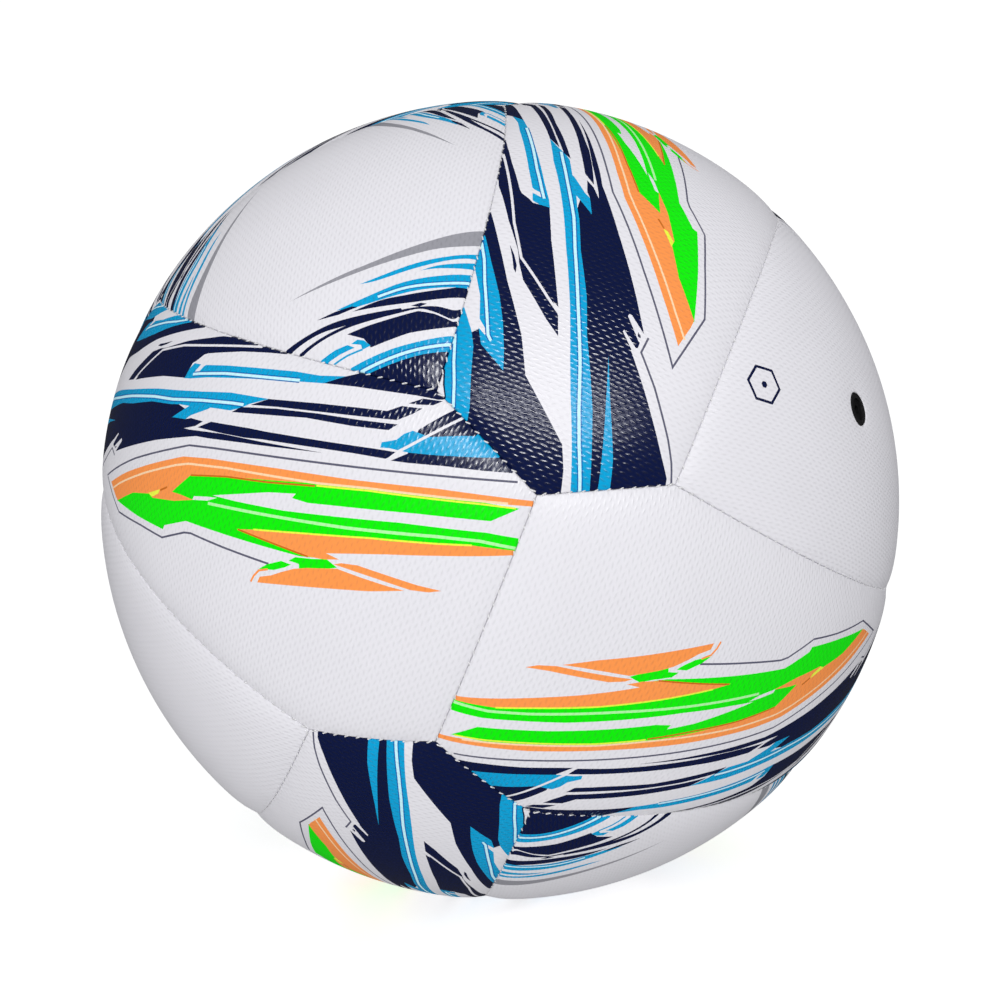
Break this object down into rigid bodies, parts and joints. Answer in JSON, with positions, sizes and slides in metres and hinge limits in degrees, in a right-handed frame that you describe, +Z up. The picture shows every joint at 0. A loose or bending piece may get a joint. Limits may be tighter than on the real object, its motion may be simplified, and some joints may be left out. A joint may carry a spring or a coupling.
{
  "type": "soccer ball",
  "caption": "Sewn soccer ball with long seven-sided panels and bowed triangles, foam and cloth backing, a bladder and a needle valve.",
  "frame": {"origin": "centre of the ball", "axes": "+Z up as the ball lies in its picture, -Y towards the viewer, +X to the viewer's right; the valve faces (0.738, -0.647, 0.189)"},
  "size_m": [0.22, 0.22, 0.22],
  "materials": {
    "printed_cover": "white synthetic leather with a fine diagonal emboss, satin, printed in navy, cyan, orange, green and grey",
    "plain_cover": "white synthetic leather with a fine diagonal emboss, satin",
    "foam": "closed-cell foam",
    "lining_cloth": "woven polyester and cotton lining",
    "waxed_thread": "waxed polyester thread",
    "latex": "smooth latex",
    "patch_cloth": "rubberised cloth",
    "valve_rubber": "moulded black rubber",
    "plug_rubber": "moulded black rubber, slightly greasy"
  },
  "bodies": {
    "root": {"long_panel_front_upper": "printed_cover", "long_panel_front_left": "printed_cover", "long_panel_front_right": "printed_cover", "long_panel_bottom_front": "printed_cover", "long_panel_top_left": "printed_cover", "long_panel_top_rear": "printed_cover", "long_panel_left_lower": "printed_cover", "long_panel_right_upper": "printed_cover", "long_panel_bottom_right": "printed_cover", "long_panel_rear_left": "printed_cover", "long_panel_rear_right": "printed_cover", "long_panel_rear_lower": "printed_cover", "printed_triangle_front_upper_left": "printed_cover", "printed_triangle_bottom_front": "printed_cover", "printed_triangle_right_rear": "printed_cover", "printed_triangle_rear_left": "printed_cover", "plain_triangle_left_lower": "plain_cover", "plain_triangle_top_rear": "plain_cover", "plain_triangle_rear_lower": "plain_cover", "valve_triangle_front_right": "plain_cover", "foam_front_upper": "foam", "foam_front_left": "foam", "foam_front_right": "foam", "foam_bottom_front": "foam", "foam_top_left": "foam", "foam_top_rear": "foam", "foam_left_lower": "foam", "foam_right_upper": "foam", "foam_bottom_right": "foam", "foam_rear_left": "foam", "foam_rear_right": "foam", "foam_rear_lower": "foam", "foam_triangle_front_upper_left": "foam", "foam_triangle_bottom_front": "foam", "foam_triangle_right_rear": "foam", "foam_triangle_rear_left": "foam", "foam_triangle_left_lower": "foam", "foam_triangle_top_rear": "foam", "foam_triangle_rear_lower": "foam", "foam_triangle_valve": "foam", "lining_long_panels": "lining_cloth", "lining_triangles": "lining_cloth", "seam_thread": "waxed_thread", "bladder": "latex", "valve_patch": "patch_cloth", "valve_housing": "valve_rubber", "needle_plug": "plug_rubber"}
  },
  "joints": []
}
